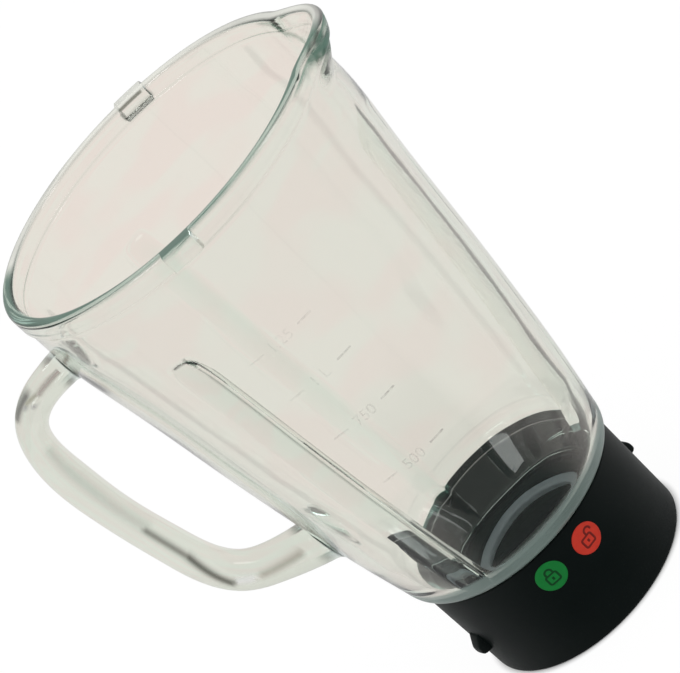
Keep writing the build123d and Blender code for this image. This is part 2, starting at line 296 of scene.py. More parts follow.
def noise(spot, scale, detail):
    """Smooth random value from 0 to 1 over the piece."""
    return spot.node("ShaderNodeTexNoise", {}, {"Vector": spot, "Scale": scale, "Detail": detail})


def bump(height, strength, distance):
    """Normal that makes a smooth face look raised where the height is large."""
    return height.node("ShaderNodeBump", {}, {"Strength": strength, "Distance": distance, "Height": height})


def blend(share, first, second):
    """Shader that goes from the first to the second as the share goes from 0 to 1."""
    return share.node("ShaderNodeMixShader", {}, {0: share, 1: first, 2: second})


def light_rays(start):
    """1 for a ray from the camera, off a glossy face, or out of glass, as three values."""
    path = start.node("ShaderNodeLightPath").out.node
    return [Sock(start.tree, path.outputs[f"Is {kind} Ray"]) for kind in ("Camera", "Glossy", "Transmission")]


# %% World
world = bpy.data.worlds.new("studio")
scene.world = world
world.use_nodes = True
world.node_tree.nodes.clear()
sky = Sock(world.node_tree, None)
to_camera, to_gloss, to_glass = light_rays(sky)
way = sky.node("ShaderNodeTexCoord", {}, {}, 0)
leftward = sky.node("ShaderNodeSeparateXYZ", {}, {0: way}, 0)
height = sky.node("ShaderNodeSeparateXYZ", {}, {0: way}, 2)
BACKDROP_WAY = (-math.sin(AZIMUTH), math.cos(AZIMUTH), 0)
toward = reach_along(way, BACKDROP_WAY)
DOME, WHITE = (0.72, 0.72, 0.72, 1), (1, 1, 1, 1)
WALL_SEEN, ROOM_SEEN, ROOM_LEFT = (0.815, 0.757, 0.69, 1), (0.42, 0.42, 0.39, 1), (0.62, 0.60, 0.56, 1)
ROOM_SHINE, WALL_SHINE = (0.17, 0.20, 0.19, 1), (0.42, 0.44, 0.42, 1)
backdrop = between(toward, -0.3, 0.35)
room = between(leftward, -0.5, 0.1).mix(ROOM_LEFT, ROOM_SEEN)
through = (backdrop * (1 - between(height, 0.55, 0.85))).mix(room, WALL_SEEN)
shine = between(toward, -0.25, 0.6).mix(ROOM_SHINE, WALL_SHINE)
seen = to_gloss.mix(DOME, shine)
seen = to_glass.mix(seen, through)
seen = to_camera.mix(seen, WHITE)
background = sky.node("ShaderNodeBackground", {}, {"Color": seen, "Strength": 1.0})
sky.node("ShaderNodeOutputWorld", {}, {"Surface": background})
print("world of", len(world.node_tree.nodes), "nodes")


# %% Lamps
def soft_box(name, where, aim_at, width, tall, watts):
    """Area lamp that faces a point, in millimetres."""
    lamp = bpy.data.lights.new(name, "AREA")
    lamp.shape, lamp.size, lamp.size_y, lamp.energy = "RECTANGLE", width * MM, tall * MM, watts
    made = bpy.data.objects.new(name, lamp)
    turn = (Vector(aim_at) - Vector(where)).to_track_quat("-Z", "Y").to_matrix().to_4x4()
    made.matrix_world = Matrix.Translation(Vector(where) * MM) @ turn
    scene.collection.objects.link(made)
    print(name, watts, "watts")


JUG_MIDDLE = (0, 0, 110)
soft_box("key_box", (-700, -900, 1100), JUG_MIDDLE, 480, 430, 3.5)
soft_box("fill_box", (900, -300, 800), JUG_MIDDLE, 320, 640, 2.0)

# %% [markdown]
# The floor is white paper. Through the glass it looks warm, with faint blotches, and a
# dark patch of painted shade just before the foot, seen only by glass and gloss, gives the
# heel its depth. The camera sees white, less the shadow.

# %% Floor
floor_stuff, start, out = material("white_floor")
to_camera, to_gloss, to_glass = light_rays(start)
spot = place_on(start)
PAPER, PAPER_LIT = (0.9, 0.9, 0.9, 1), (1.04, 1.04, 1.04, 1)
SHADE_PATCH_GLOSS, SHADE_PATCH_SEEN = (0.22, 0.25, 0.24, 1), (0.25, 0.27, 0.26, 1)
WARM, ROSE = (0.85, 0.795, 0.722, 1), (0.872, 0.757, 0.697, 1)
FOOT_IN, FOOT_OUT, PAPER_SHARE = 0.043, 0.047, 0.9
beyond = reach_along(spot, BACKDROP_WAY)
sideways = reach_along(spot, tuple(right))
# Painted shade: a dark patch on the floor just before the foot, seen only in glass and gloss.
shade_before_foot = between(beyond, -0.26, -0.20) * (1 - between(beyond, -0.07, -0.03))
shade_before_foot = shade_before_foot * (1 - between(start.math("ABSOLUTE", sideways), 0.05, 0.11))
paper = start.node("ShaderNodeBsdfDiffuse", {}, {"Color": (to_gloss * shade_before_foot).mix(PAPER, SHADE_PATCH_GLOSS)})
blotch = between(noise(spot, 15.0, 1.0), 0.42, 0.58)
warm_floor = shade_before_foot.mix(blotch.mix(WARM, ROSE), SHADE_PATCH_SEEN)
glow = start.node("ShaderNodeEmission", {}, {"Color": to_camera.mix(warm_floor, PAPER_LIT), "Strength": 1.0})
away = start.node("ShaderNodeVectorMath", {"operation": "LENGTH"}, {0: spot}, 1)
glow_share = start.math("MAXIMUM", to_camera, to_glass) * between(away, FOOT_IN, FOOT_OUT) * PAPER_SHARE
finish_material(start, out, blend(glow_share, paper, glow))
floor_mesh = bpy.data.meshes.new("floor")
floor_corners = 4.0 * np.array([(-1, -1, 0), (1, -1, 0), (1, 1, 0), (-1, 1, 0)])
floor_mesh.from_pydata(floor_corners.tolist(), [], [(0, 1, 2, 3)])
floor_mesh.materials.append(floor_stuff)
floor = bpy.data.objects.new("floor", floor_mesh)
scene.collection.objects.link(floor)

# %% [markdown]
# ## Glass
# Pressed glass is one thick solid, so it is made as one closed surface: light then bends
# where it goes in and where it comes out. The green shows only where the light has gone
# a long way through, at the rim and the heel, so it belongs to the inside of the
# solid and not to its skin. On the skin, the rim's crown is painted green for the light
# seen through the thick rim, pale on its far side, and the heel band is painted grey-green.
# Where light bends too hard, part of it goes straight on, and fine lines of painted shade
# and highlight stand in for light bent in the glass: one attribute of the mesh,
# flow_line, holds both. Its alpha is the paint when above 0, the
# straight share when below, and both when below -1.

# %% Glass material
glass, start, out = material("pressed_glass")
spot = place_on(start)
level = start.node("ShaderNodeSeparateXYZ", {}, {0: spot}, 2)
ripple = noise(spot, 38.0, 1.0)
dimple = bump(ripple, 0.05, 0.002)
FAR_SIDE = math.radians(169)
CLEAR, STRAIGHT = (0.975, 0.972, 0.965, 1), (0.97, 0.97, 0.96, 1)
# Painted on the skin: green for light seen through the thick rim, pale on the rim's far side, and grey-green
# on the heel band.
HEEL_GREEN, RIM_GREEN, RIM_PALE = (0.17, 0.225, 0.205, 1), (0.24, 0.38, 0.31, 1), (0.93, 0.93, 0.86, 1)
at_back = between(reach_along(spot, (math.sin(FAR_SIDE), -math.cos(FAR_SIDE), 0)), -0.002, 0.012)
rim_crown = between(level, 0.2322, 0.2338)
heel_band = between(off_axis(spot), 0.0444, 0.0452) * (1 - between(level, 0.0518, 0.0540))
# Painted shade and highlight lines, and the straight share, are read from the mesh's attribute.
painted_lines = start.node("ShaderNodeAttribute", {"attribute_name": "flow_line"})
painted_lines_amount = Sock(start.tree, painted_lines.out.node.outputs["Alpha"])
soft_share = start.math("MINIMUM", start.math("MAXIMUM", 0 - painted_lines_amount, 0.0), 1.0)
painted = start.math("MAXIMUM", start.math("MAXIMUM", painted_lines_amount, 0 - painted_lines_amount - 1), 0.0)
from_inside = start.node("ShaderNodeNewGeometry", {}, {}, 6)
# How much of the rim and heel skin is painted, mottled a little.
rim_heel_paint = start.math("MAXIMUM", rim_crown * (0.55 + at_back * 0.3), heel_band * 0.85)
rim_heel_paint = rim_heel_paint * (0.7 + ripple * 0.6) * (1 - from_inside)
skin = start.node("ShaderNodeBsdfPrincipled", {}, {
    "Base Color": CLEAR, "Roughness": 0.0, "IOR": 1.5, "Transmission Weight": 1.0, "Normal": dimple})
straight = start.node("ShaderNodeBsdfTransparent", {}, {"Color": STRAIGHT})
rim_heel_tone = rim_crown.mix(HEEL_GREEN, at_back.mix(RIM_GREEN, RIM_PALE))
rim_heel_painted = start.node("ShaderNodeBsdfPrincipled", {}, {
    "Base Color": rim_heel_tone, "Roughness": 0.3, "Normal": dimple})
# The painted lines: shade and highlight standing in for light bent in the glass.
line = start.node("ShaderNodeBsdfPrincipled", {}, {"Base Color": painted_lines, "Roughness": 0.4})
skin = blend(soft_share, skin, straight)
with_rim_heel_paint = blend(rim_heel_paint, skin, rim_heel_painted)
finish_material(start, out, blend(painted, with_rim_heel_paint, line))
tint = start.node("ShaderNodeVolumeAbsorption", {}, {"Color": (0.17, 0.71, 0.58, 1), "Density": 12.0})
start.tree.links.new(tint.out, out.inputs["Volume"])

# %% [markdown]
# ## The jug's faces
# Going round the jug, the outer and the inner face are radii that depend on the angle
# and the height. Ribs are subtracted from the inner face, the spout and the rim's lugs
# are added, and a rounded larger-of-two joins them without a seam.

# %% Radii of the two faces
def wall_thickness(z):
    """Glass thickness, growing evenly toward the heel."""
    return WALL_T_LOW + (WALL_T_TOP - WALL_T_LOW) * (z - FUNNEL_Z) / (TOTAL_H - FUNNEL_Z)


low_slope = np.diff(WALL_PROFILE[:2], axis=0)[0]
wall_curve = spline(WALL_PROFILE[:, 1], WALL_PROFILE[:, 0], low_slope[0] / low_slope[1], 0.0)
inner_z = WALL_PROFILE[1:, 1]
inner_r = WALL_PROFILE[1:, 0] - wall_thickness(inner_z)
inner_r[-1] = RIM_WALL_R - WALL_T_TOP
inner_first = (inner_r[1] - inner_r[0]) / (inner_z[1] - inner_z[0])
inner_curve = spline(inner_z, inner_r, inner_first, 0.0)
FUNNEL_OUT_R, NECK_BLEND, FLOOR_BLEND = 49.106, 1.0, 1.6
TURN_R = FUNNEL_OUT_R - WALL_T_LOW
BEAD_LOW_Z, LUG_LOW_Z = TOTAL_H - BEAD_H - 0.7, TOTAL_H - LUG_H - 0.3


def spout_flare(angle, z, low_z, reach):
    """Lip that swells out above its foot, steeper toward the rim, and fades to both sides like a cosine."""
    share = np.clip((z - low_z) / (TOTAL_H - low_z), 0, 1)
    share = share ** 2 / (share + SPOUT_EASE) * (1 + SPOUT_EASE)
    away = np.abs((np.degrees(angle) - SPOUT_ANGLE + 180) % 360 - 180) / SPOUT_HALF_ANGLE
    sideways = np.cos(np.pi / 2 * np.clip(away, 0, 1)) ** SPOUT_FADE
    return reach * (1 - (1 - share) ** SPOUT_RISE) * sideways


def across_lugs(angle):
    """Distance round the rim from the middle of the nearer lid lug, at the front or the back."""
    return np.abs((angle + np.pi / 2) % np.pi - np.pi / 2) * BEAD_R


def outer_radius(angle, z):
    """Wall, raised band of the rim, spout and the two lid lugs."""
    wall = np.where(z < RIM_WALL_Z, wall_curve(np.minimum(z, RIM_WALL_Z)), RIM_WALL_R)
    band = wall + (BEAD_R - RIM_WALL_R) * ease((z - BEAD_LOW_Z) / BEAD_STEP)
    radius = band + spout_flare(angle, z, SPOUT_LOW_Z, SPOUT_REACH)
    lug = ease((LUG_W / 2 + LUG_STEP / 2 - across_lugs(angle)) / LUG_STEP) * ease((z - LUG_LOW_Z) / LUG_STEP)
    return radius + LUG_OUT * lug


def rib_height(angle, z):
    """Stirring ribs: roofs with a rounded ridge, whose height runs out to nothing at the top."""
    turn = np.degrees(angle)[..., None] - np.array(RIB_ANGLES)
    away = np.min(np.abs((turn + 180) % 360 - 180), -1)
    across = np.radians(away) * (inner_curve(np.clip(z, BEND_Z, RIM_WALL_Z)) - RIB_INSET)
    roof = np.clip((RIB_HALF_W - np.sqrt(across ** 2 + RIB_CREST ** 2)) / (RIB_HALF_W - RIB_CREST), 0, 1)
    roof = RIB_ROUND * ease(roof) + (1 - RIB_ROUND) * roof
    run_out = np.clip((z - RIB_TOP_Z + RIB_END) / RIB_END, 0, 1)
    return RIB_DEPTH * roof * (1 - run_out ** RIB_RUN_OUT)


def inner_radius(angle, z):
    """Wall less its ribs, funnel floor and neck, with the spout's hollow."""
    upper = np.where(z < RIM_WALL_Z, inner_curve(np.clip(z, BEND_Z, RIM_WALL_Z)), RIM_WALL_R - WALL_T_TOP)
    straight = TURN_R + (inner_r[0] - TURN_R) * (z - FUNNEL_Z) / (inner_z[0] - FUNNEL_Z)
    wall = np.where(z < BEND_Z, straight, upper) - rib_height(angle, z)
    funnel = NECK_R + (TURN_R - NECK_R) * (z - NECK_LIP_Z) / (FUNNEL_Z - NECK_LIP_Z)
    floor_r = soft_max(np.broadcast_to(NECK_R, z.shape), funnel, NECK_BLEND)
    hollow = SPOUT_REACH + BEAD_R - SPOUT_T - (RIM_WALL_R - WALL_T_TOP)
    return soft_min(wall, floor_r, FLOOR_BLEND) + spout_flare(angle, z, SPOUT_LOW_Z + SPOUT_FLOOR, hollow)


print("mouth", round(2 * (RIM_WALL_R - WALL_T_TOP), 1), "mm, funnel turn", round(2 * TURN_R, 1), "mm across")

# %% [markdown]
# ## Painted lines in the glass
# Fine lines of painted shade and highlight stand in for light bent where the glass's faces
# meet: along the front rib, round the spout and at the back lug. A line is an angle and a
# height at each end, a half width at each end, a colour and a strength. All lines are
# kept on the points of the mesh.

# %% Strokes on the wall
# Inside: painted shade along the front rib and beside the spout.
INSIDE_LINES = (
    (-25.4, 197.0, -24.8, 193.4, 0.5, 0.9, (0.05, 0.14, 0.085), 0.85),
    (-25.1, 193.4, -27.6, 184.0, 0.9, 0.6, (0.27, 0.30, 0.24), 0.6),
    (-27.6, 184.0, -28.0, 60.0, 0.7, 0.6, (0.30, 0.30, 0.25), 0.55),
    (126.0, 233.6, 114.5, 231.0, 0.6, 1.5, (0.20, 0.34, 0.26), 0.6),
    (114.5, 231.0, 112.0, 226.5, 1.5, 1.3, (0.15, 0.29, 0.21), 0.65),
    (112.0, 226.5, 102.0, 222.0, 1.3, 0.5, (0.17, 0.28, 0.21), 0.55))
OUTSIDE_LINES = (
    # Outside: the dark and green lines are painted shade; the pale ones at the spout's foot and under the
    # back lug are painted light.
    (69.0, 231.5, 84.0, 226.0, 2.2, 2.8, (0.045, 0.145, 0.098), 0.92),
    (78.0, 232.5, 94.0, 229.5, 2.0, 2.8, (0.055, 0.165, 0.112), 0.92),
    (72.0, 228.6, 85.0, 223.0, 0.9, 1.5, (0.012, 0.085, 0.045), 0.9),
    (54.0, 232.6, 68.0, 231.2, 0.7, 1.5, (0.12, 0.26, 0.19), 0.8),
    (77.0, 220.4, 90.0, 217.6, 2.2, 3.0, (0.74, 0.74, 0.68), 0.85),
    (174.7, 231.0, 174.7, 227.8, 0.5, 0.8, (0.09, 0.15, 0.11), 0.8),
    (185.2, 229.8, 185.2, 227.6, 0.7, 0.7, (0.09, 0.14, 0.10), 0.8),
    (184.6, 226.6, 175.4, 226.6, 0.7, 0.7, (0.95, 0.88, 0.85), 0.7))
RIB_SOFT, FRONT_RIB_SOFT, RIB_SIDE_SOFT, LUG_SOFT, ROOT_SOFT = 1.0, 0.96, 0.85, 0.6, 0.75


def lay(shade, amount, colour):
    """Puts a stroke on a shade wherever it is the stronger of the two."""
    stronger = amount > shade[..., 3]
    shade[..., :3] = np.where(stronger[..., None], colour, shade[..., :3])
    shade[..., 3] = np.maximum(amount, shade[..., 3])


def strokes(angle, z, lines):
    """Colour and strength of painted lines of shade and light on the wall: each falls off like a bell from a
    straight path.
    """
    shade = np.zeros(angle.shape + (4,))
    for angle_1, z_1, angle_2, z_2, half_1, half_2, colour, strength in lines:
        x = np.radians((np.degrees(angle) - angle_1 + 180) % 360 - 180) * RIM_WALL_R
        run = np.array([math.radians(angle_2 - angle_1) * RIM_WALL_R, z_2 - z_1])
        share = np.clip((x * run[0] + (z - z_1) * run[1]) / (run @ run), 0, 1)
        off = np.hypot(x - share * run[0], z - z_1 - share * run[1])
        half = half_1 + (half_2 - half_1) * share
        lay(shade, strength * np.exp(-(off / half) ** 2), colour)
    return shade


print(len(INSIDE_LINES), "strokes inside and", len(OUTSIDE_LINES), "outside")

# %% [markdown]
# ## One closed section, carried round
# The section starts at the foot of the neck, climbs the inner face, goes over the rim
# and comes down the outer face to the heel and the foot. Lines are crowded where ribs,
# lugs and the handle need them.

# %% Angles and heights
HANDLE_ANGLE, RIM_LOW_Z, ANGLE_COUNT = -90.0, TOTAL_H - RIM_ROUND, 325
lug_edge = math.degrees(LUG_W / 2 / BEAD_R)
crowds = [(a, 6.5, 2.2) for a in RIB_ANGLES]
crowds += [(a, 0.9, 7.0) for a in (-lug_edge, lug_edge, 180 - lug_edge, 180 + lug_edge)]
crowds += [(HANDLE_ANGLE, 14.0, 0.8), (SPOUT_ANGLE, 22.0, 0.5)]
angles = np.radians(crowded(-120.0, 240.0, ANGLE_COUNT, *crowds)[:-1])
rib_ends, spout_foot = (193, 7, 2.0), (224, 7, 1.2)
up_z = np.concatenate([crowded(NECK_Z + 0.6, 56.0, 22), crowded(58.0, RIM_LOW_Z, 80, rib_ends, spout_foot)])
lug_foot, roots, spout_low = (226.2, 0.8, 9.0), [(201.3, 12.0, 0.9), (84.5, 14.0, 0.3)], (219, 3.5, 1.6)
down_z = crowded(52.0, RIM_LOW_Z, 130, lug_foot, *roots, spout_low)[::-1]
print(len(angles), "angles,", len(up_z), "heights inside and", len(down_z), "outside")

# %% Inner and outer face
A, Z = np.meshgrid(angles, up_z, indexing="ij")
inside = on_ring(inner_radius(A, Z), A, Z)
inside_shade = strokes(A, Z, INSIDE_LINES)
SOFT_FROM_Z, SOFT_FROM_Z_RIGHT, SOFT_RISE, HOOK_Z, NEAR_RIB, ON_RIB = 88.0, 50.0, 15.0, 191.0, 0.9, 0.98
SKIN_DEPTH, END_RISE, LUG_SOFT_REACH = 0.8, 4, 1.5
rib_skin = ease(rib_height(A, Z) / SKIN_DEPTH)
rib_end = ease((Z - RIB_TOP_Z + RIB_END) / END_RISE)
front_rib, right_rib = (np.cos(A - math.radians(a)) for a in RIB_ANGLES[:2])
soft_from = np.where(right_rib > NEAR_RIB, SOFT_FROM_Z_RIGHT, SOFT_FROM_Z)
side_soft = np.where(front_rib > NEAR_RIB, FRONT_RIB_SOFT, RIB_SIDE_SOFT) * ease((Z - soft_from) / SOFT_RISE)
inside_soft = RIB_SOFT * rib_skin * rib_end + side_soft * rib_skin * (1 - rib_end)
rib_stroke = (front_rib > ON_RIB) & (Z < HOOK_Z)
A, Z = np.meshgrid(angles, down_z, indexing="ij")
outside = on_ring(outer_radius(A, Z), A, Z)
outside_shade = strokes(A, Z, OUTSIDE_LINES)
lug_side = np.abs(across_lugs(A) - LUG_W / 2)
outside_soft = LUG_SOFT * ease(LUG_SOFT_REACH - lug_side) * ease(Z - (TOTAL_H - LUG_H - 1))
print("inner face", inside.shape, "outer face", outside.shape)


# %% Rim and foot
def rim_arc(radius_at, centre_off, turn):
    """Rounded edge of the rim, set off from the face at the rim's height."""
    A, Z = np.meshgrid(angles, RIM_LOW_Z + RIM_ROUND * np.sin(turn), indexing="ij")
    level = np.full_like(A, RIM_LOW_Z)
    half = np.minimum((outer_radius(A, level) - inner_radius(A, level)) / 2, RIM_HALF_MAX) - 0.02
    return on_ring(radius_at(A, level) + centre_off * half * (1 - np.cos(turn)), A, Z)


arc = np.radians(np.linspace(0, 90, 7))
rim_in = rim_arc(inner_radius, 1.0, arc[1:])
rim_out = rim_arc(outer_radius, -1.0, arc[::-1][:-1])
top_share = np.linspace(0, 1, 6)[1:-1, None]
rim_flat = rim_in[:, -1:, :] * (1 - top_share) + rim_out[:, :1, :] * top_share


def bend(start, corner, end, count):
    """Rounded corner: a curve that leaves start toward the corner and reaches end from it."""
    t = np.linspace(0, 1, count)[:, None]
    return (1 - t) ** 2 * np.array(start) + 2 * t * (1 - t) * np.array(corner) + t ** 2 * np.array(end)


HEEL_CORNER, SPIGOT_ROWS_Z, FOOT_MID_R = (48.3, 44.7), (40.0, 35.0), 36.0
heel = bend(WALL_PROFILE[0], HEEL_CORNER, (HEEL_R, HEEL_Z), 11)
shoulder = bend((SPIGOT_R + 0.8, HEEL_Z), (SPIGOT_R, HEEL_Z), (SPIGOT_R, HEEL_Z - 0.8), 4)
spigot_end = bend((SPIGOT_R, NECK_Z + 1.0), (SPIGOT_R, NECK_Z), (SPIGOT_R - 1.0, NECK_Z), 4)
neck_end = bend((NECK_R + 0.6, NECK_Z), (NECK_R, NECK_Z), (NECK_R, NECK_Z + 0.5), 3)
spigot = [(SPIGOT_R, z) for z in SPIGOT_ROWS_Z]
foot = np.concatenate([heel, shoulder, spigot, spigot_end, [(FOOT_MID_R, NECK_Z)], neck_end])
A, R = np.meshgrid(angles, foot[:, 0], indexing="ij")
below = on_ring(R, A, np.broadcast_to(foot[:, 1], R.shape))
section = np.concatenate([inside, rim_in, rim_flat, rim_out, outside, below], 1)
first_out = sum(part.shape[1] for part in (inside, rim_in, rim_flat, rim_out))
rows, cols = section.shape[:2]
print("section", cols, "points, carried to", rows, "angles")

# %% [markdown]
# ## Handle
# The handle is an oval carried along a smooth path. Its two ends grow out of the wall:
# a rectangle of cells is left out of the wall at each root, and the oval opens into the
# edge of that rectangle with a small hollow curve, so glass and handle are one solid.

# %% Handle path and roots
TOP_CELLS, LOW_CELLS, TOP_ROOT_Z, LOW_ROOT_Z = (20, 24), (26, 18), 201.2, 83.9
steps = np.concatenate([[0], np.cumsum(np.hypot(*np.diff(HANDLE[:, :2], axis=0).T))])
ends = (HANDLE[1] - HANDLE[0]) / (steps[1] - steps[0]), (HANDLE[-1] - HANDLE[-2]) / (steps[-1] - steps[-2])
handle_at = [spline(steps, HANDLE[:, k], ends[0][k], ends[1][k]) for k in range(4)]


def handle_point(along, turn):
    """Point of the handle's skin: path point plus an oval in the plane square to the path."""
    r, z, thick, wide = (f(along) for f in handle_at)
    dr, dz = (f(along + 0.05) - f(along - 0.05) for f in handle_at[:2])
    size = np.hypot(dr, dz)
    out_r, out_z = -dz / size, dr / size
    rise = thick * np.sin(turn)
    return np.stack([-(r + rise * out_r), wide * np.cos(turn) * np.ones_like(r), z + rise * out_z], -1)


def root_ring(cells, centre_z, flip):
    """Indices of the wall's points round the cells left out, with their turn on the oval."""
    across, tall = cells
    i_mid = int(np.argmin(np.abs(np.degrees(angles) - HANDLE_ANGLE)))
    j_mid = int(np.argmin(np.abs(down_z - centre_z)))
    i0, j0 = i_mid - across // 2, j_mid - tall // 2
    i1, j1 = i0 + across, j0 + tall
    a, t = np.arange(across), np.arange(tall)
    i = np.concatenate([i0 + a, np.full(tall, i1), i1 - a, np.full(tall, i0)])
    j = np.concatenate([np.full(across, j1), j1 - t, np.full(across, j0), j0 + t])
    point = section[i, first_out + j]
    y_half = np.abs(point[:, 1]).max()
    z_half = (down_z[j0] - down_z[j1]) / 2
    v = (point[:, 2] - (down_z[j0] + down_z[j1]) / 2) / z_half
    turn = np.arctan2(v, point[:, 1] / y_half)
    ids = i * cols + first_out + j
    if flip:
        start = across + tall + across
        order = (start - np.arange(len(ids))) % len(ids)
        ids, point, turn = ids[order], point[order], -turn[order]
    return (i0, i1, first_out + j0, first_out + j1), ids, point, np.unwrap(turn), (y_half, z_half)


top_patch, top_ids, top_edge, top_turn, top_half = root_ring(TOP_CELLS, TOP_ROOT_Z, False)
low_patch, low_ids, low_edge, low_turn, low_half = root_ring(LOW_CELLS, LOW_ROOT_Z, True)
print("root openings, half sizes in mm", np.round(top_half, 1), np.round(low_half, 1))


def on_wall(y, z):
    """Points of the wall's outer face on the handle's side, at a place across and a height."""
    radius = wall_curve(z)
    return np.stack([-np.sqrt(radius ** 2 - y ** 2), y, z], -1)


def meets_wall(turn, low, high):
    """Where each line along the handle's skin passes through the wall, by halving the stretch."""
    low, high = np.full_like(turn, low), np.full_like(turn, high)
    for _ in range(40):
        mid = (low + high) / 2
        point = handle_point(mid, turn)
        outside_wall = np.hypot(point[:, 0], point[:, 1]) > wall_curve(point[:, 2])
        low = np.where(outside_wall, low, mid)
        high = np.where(outside_wall, mid, high)
    return (low + high) / 2


ROOT_FILLET = 4.0


def root_rows(edge, turn, inside_at, outside_at, sign):
    """Rows of points from the edge of an opening to the handle: along the wall, then a hollow curve."""
    cross = meets_wall(turn, inside_at, outside_at)
    corner = handle_point(cross, turn)
    tip = handle_point(cross + sign * ROOT_FILLET, turn)
    centre = corner.mean(0)
    spread = corner - centre
    size = np.hypot(spread[:, 1], spread[:, 2])[:, None]
    flat = corner + spread / size * ROOT_FILLET
    ring = on_wall(flat[:, 1], flat[:, 2])
    halfway = (edge + ring) / 2
    halfway = on_wall(halfway[:, 1], halfway[:, 2])
    t = np.linspace(0, 1, 8)[1:-1, None, None]
    hollow = (1 - t) ** 2 * ring + 2 * t * (1 - t) * corner + t ** 2 * tip
    return np.concatenate([halfway[None], ring[None], hollow]), cross + sign * ROOT_FILLET


top_rows, top_start = root_rows(top_edge, top_turn, 0.0, 30.0, 1.0)
low_rows, low_start = root_rows(low_edge, low_turn, steps[-1], steps[-1] - 35.0, -1.0)
down = np.linspace(0, 1, 104)[:, None]
even_turn = top_turn[0] - np.arange(len(top_turn)) * 2 * np.pi / len(top_turn)
near_top, near_low = ease(1 - down * 6), ease(down * 6 - 5)
tube_turn = even_turn + (top_turn - even_turn) * near_top + (low_turn - even_turn) * near_low
tube_along = top_start + (low_start - top_start) * down
tube = handle_point(tube_along, tube_turn)
handle_rows = np.concatenate([top_rows, tube, low_rows[::-1]])
print("handle rows", handle_rows.shape)

# %% [markdown]
# The handle's front gets soft streaks of painted shade and highlight, standing in for
# light bent through the glass. A streak is a stretch along the path in millimetres, a
# place across the handle at each end (-1 is inside the grip, 1 outside), a half width, a
# colour and a strength. A dark line of painted shade follows each root.

# %% Streaks in the handle
PAINTED_STREAKS = (
    (9, 20, 0.44, 0.45, 1.0, (0.17, 0.10, 0.075), 0.75),
    (20, 25, 0.45, 0.72, 1.0, (0.23, 0.21, 0.12), 0.6),
    (23, 31, 0.86, 0.94, 1.1, (0.09, 0.09, 0.085), 0.8),
    (24, 27, 0.20, 0.80, 0.8, (0.25, 0.24, 0.27), 0.6),
    (44, 92, -0.48, -0.48, 2.2, (0.42, 0.47, 0.40), 0.35),
    (92, 112, -0.37, -0.27, 1.3, (0.07, 0.07, 0.045), 0.7),
    (112, 131, -0.27, 0.20, 1.5, (0.05, 0.05, 0.03), 0.85),
    # A painted highlight at the lower bend.
    (133, 138, 0.02, -0.06, 1.5, (0.9, 0.9, 0.9), 0.6),
    (142, 158, -0.14, -0.36, 1.5, (0.25, 0.20, 0.13), 0.5))
OVAL_HALF, FAR_OFF, ROOT_SHADE_GREEN, ROOT_ROW, ROOT_ROW_HALF = 7.0, 9.0, (0.03, 0.10, 0.07), 3.5, 0.9


def painted_streaks(run, turn):
    """Colour and strength of painted shade and highlight strokes on the handle's front, each from one place
    to another.
    """
    shade = np.zeros(run.shape + (4,))
    side = np.where(np.cos(turn) < 0, np.sin(turn), FAR_OFF)
    for first, last, side_1, side_2, half, colour, strength in PAINTED_STREAKS:
        t = np.clip((run - first) / (last - first), 0, 1)
        past = np.maximum(np.maximum(first - run, run - last), 0)
        off = np.hypot((side - side_1 - (side_2 - side_1) * t) * OVAL_HALF, past)
        lay(shade, strength * np.exp(-(off / half) ** 2), colour)
    return shade


def root_shade_line(rows_out, turn, strength):
    """Painted shade: a dark green line in the hollow curve where the handle leaves the wall, on the handle's
    front.
    """
    shade = np.zeros(rows_out.shape[:2] + (4,))
    shade[..., :3] = ROOT_SHADE_GREEN
    from_curve = (np.arange(len(rows_out))[:, None] - ROOT_ROW) / ROOT_ROW_HALF
    shade[..., 3] = strength * np.exp(-from_curve ** 2) * ease(0.2 - np.cos(turn))
    return shade


shade_rows = np.concatenate([root_shade_line(top_rows, top_turn, 0.75), painted_streaks(tube_along, tube_turn),
                             root_shade_line(low_rows, low_turn, 0.7)[::-1]])
print(len(PAINTED_STREAKS), "streaks on", shade_rows.shape[:2], "points")

# %% [markdown]
# The wall's cells, less the two openings, and the handle's rows are now joined into one
# closed mesh: every edge has two faces, which is what light inside glass needs.

# %% One glass solid
cells = grid_faces(rows, cols, True, True)
row_of, col_of = np.divmod(np.arange(len(cells)), cols)
keep = np.ones(len(cells), bool)
for i0, i1, j0, j1 in (top_patch, low_patch):
    keep &= ~((row_of >= i0) & (row_of < i1) & (col_of >= j0) & (col_of < j1))
ring_size, grid_size = len(top_ids), rows * cols
handle_ids = grid_size + np.arange(len(handle_rows) * ring_size).reshape(-1, ring_size)
ladder = np.vstack([top_ids, handle_ids, low_ids])
strips = np.stack([ladder[:-1], ladder[1:], np.roll(ladder[1:], -1, 1), np.roll(ladder[:-1], -1, 1)], -1)
corners = np.concatenate([cells[keep], strips.reshape(-1, 4)])
every = np.concatenate([section.reshape(-1, 3), handle_rows.reshape(-1, 3)])
used, corners = np.unique(corners, return_inverse=True)
jug = make_piece("glass_jug_form", every[used], corners.reshape(-1, 4), glass, 40.0)
edge_of = np.empty(len(jug.data.loops), np.int32)
jug.data.loops.foreach_get("edge_index", edge_of)
print("edges without two faces:", int((np.bincount(edge_of) != 2).sum()))
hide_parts("glass_jug")

# %% [markdown]
# The painted shade and highlights and the softness are gathered for every point, in the
# order of the mesh, and packed into the one attribute. A stroke usually takes the softness
# away. On the front rib it lies on top of it, so that no hard bend of light shows beside
# the stroke.

